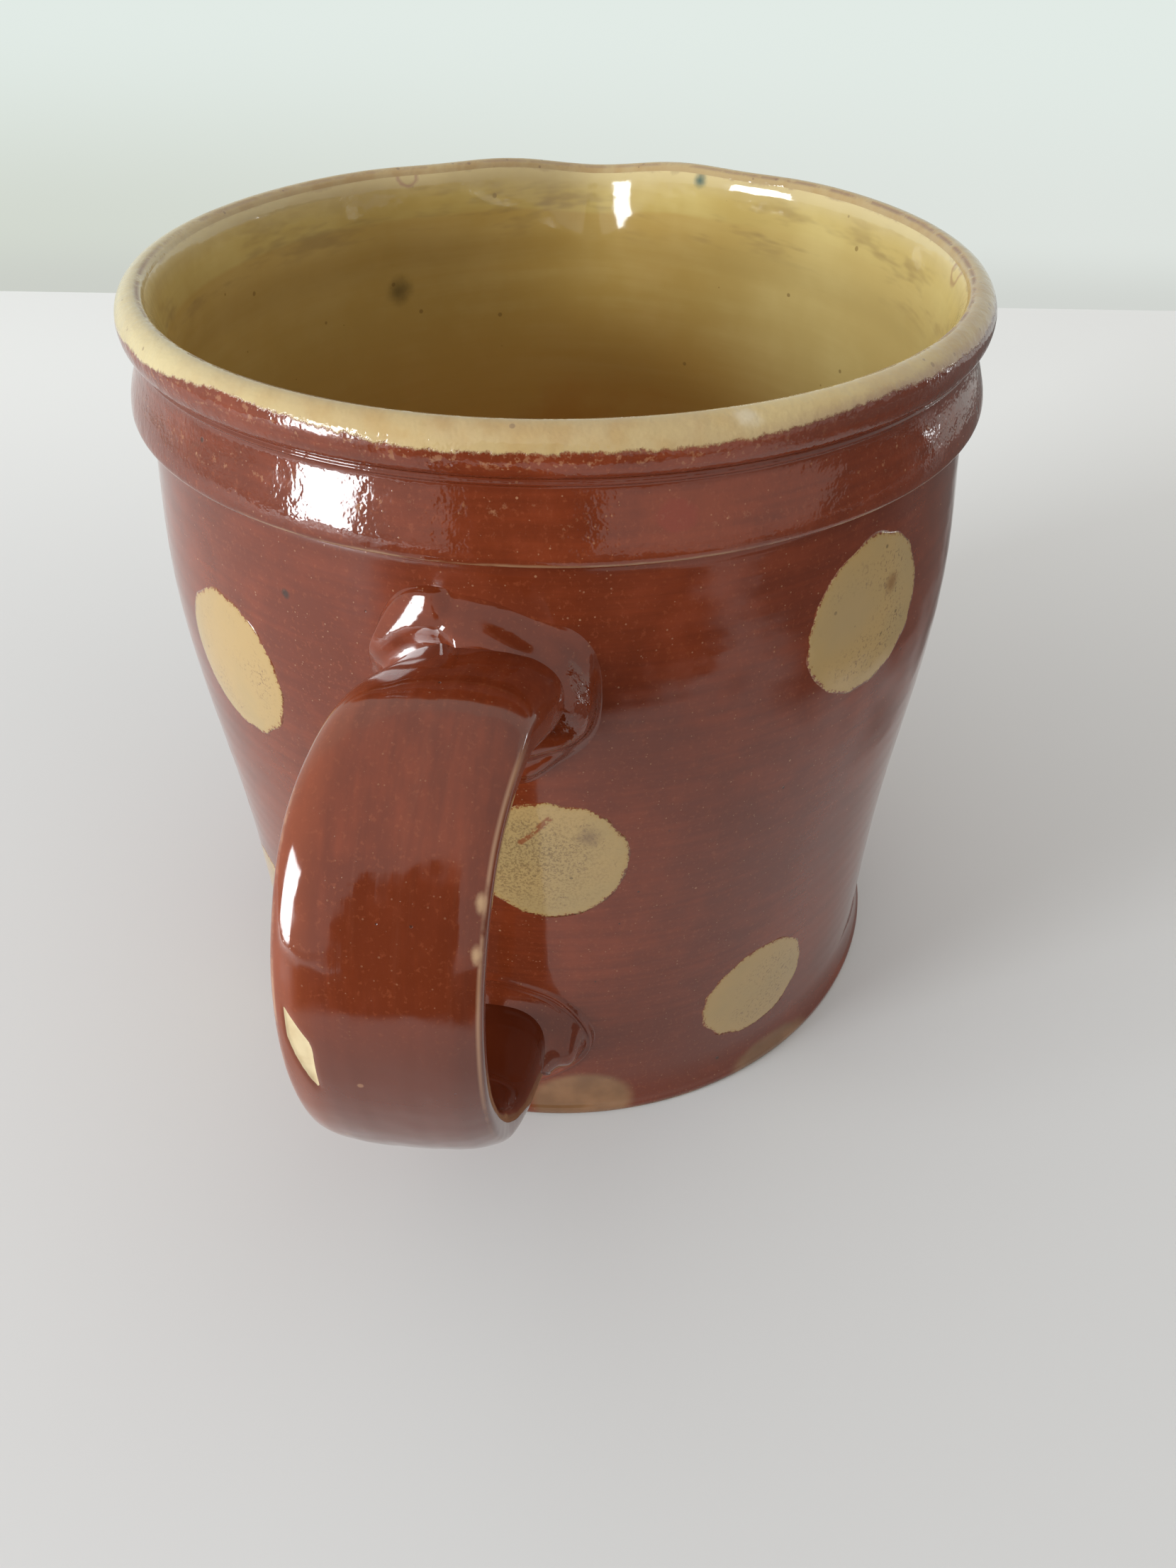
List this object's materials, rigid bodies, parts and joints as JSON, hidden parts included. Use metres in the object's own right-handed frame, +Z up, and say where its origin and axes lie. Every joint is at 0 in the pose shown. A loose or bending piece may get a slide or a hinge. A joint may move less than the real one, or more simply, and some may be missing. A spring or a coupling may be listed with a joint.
{
  "type": "earthenware jug",
  "caption": "Small wheel-thrown glazed jug with a rolled rim, collar band, pinched pouring spout, strap handle opposite it and rows of cream slip dots.",
  "frame": {"origin": "centre of the flat underside", "axes": "+Z up through the middle of the mouth; +X from the handle's side towards the pouring spout"},
  "size_m": [0.1451, 0.1071, 0.1073],
  "materials": {
    "red_brown_glazed_clay": "glossy transparent lead glaze over iron-red slip",
    "yellow_slip_glaze": "glossy yellow-olive glaze over pale slip",
    "cream_slip": "glossy glaze over cream slip"
  },
  "bodies": {
    "root": {"jug_body": "red_brown_glazed_clay", "yellow_slip_lining": "yellow_slip_glaze", "handle": "red_brown_glazed_clay", "upper_handle_joint": "red_brown_glazed_clay", "lower_handle_joint": "red_brown_glazed_clay", "upper_slip_dot_1": "cream_slip", "upper_slip_dot_2": "cream_slip", "upper_slip_dot_3": "cream_slip", "upper_slip_dot_4": "cream_slip", "middle_slip_dot_1": "cream_slip", "middle_slip_dot_2": "cream_slip", "middle_slip_dot_3": "cream_slip", "middle_slip_dot_4": "cream_slip", "lower_slip_dot_1": "cream_slip", "lower_slip_dot_2": "cream_slip", "lower_slip_dot_3": "cream_slip", "lower_slip_dot_4": "cream_slip"}
  },
  "joints": []
}
